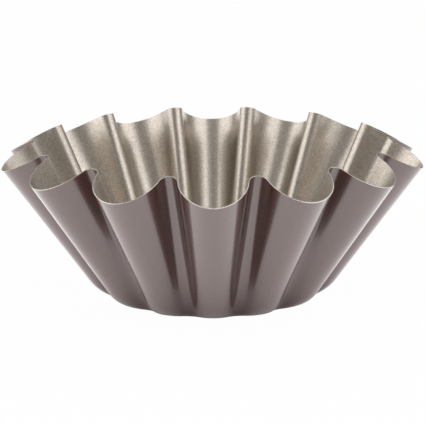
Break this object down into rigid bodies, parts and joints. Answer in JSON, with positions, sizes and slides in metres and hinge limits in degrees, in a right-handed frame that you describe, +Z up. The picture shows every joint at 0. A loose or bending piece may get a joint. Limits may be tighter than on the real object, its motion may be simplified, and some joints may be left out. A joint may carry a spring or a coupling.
{
  "type": "brioche mould",
  "caption": "Fluted round baking mould pressed from thin coated steel, with flaring wavy-rimmed walls and a small flat base.",
  "frame": {"origin": "centre of the flat base's underside, on the table", "axes": "+Z up through the open top, -Y towards the middle of one flute and +Y towards the opposite flute"},
  "size_m": [0.215, 0.22, 0.0824],
  "materials": {
    "outer_lacquer": "smooth glossy mauve-brown baked lacquer",
    "bare_steel": "bare cut edge of the pressed steel sheet",
    "non_stick": "satin champagne non-stick coating with a fine metallic grain"
  },
  "bodies": {
    "root": {"outer_coating": "outer_lacquer", "steel_shell": "bare_steel", "inner_coating": "non_stick"}
  },
  "joints": []
}
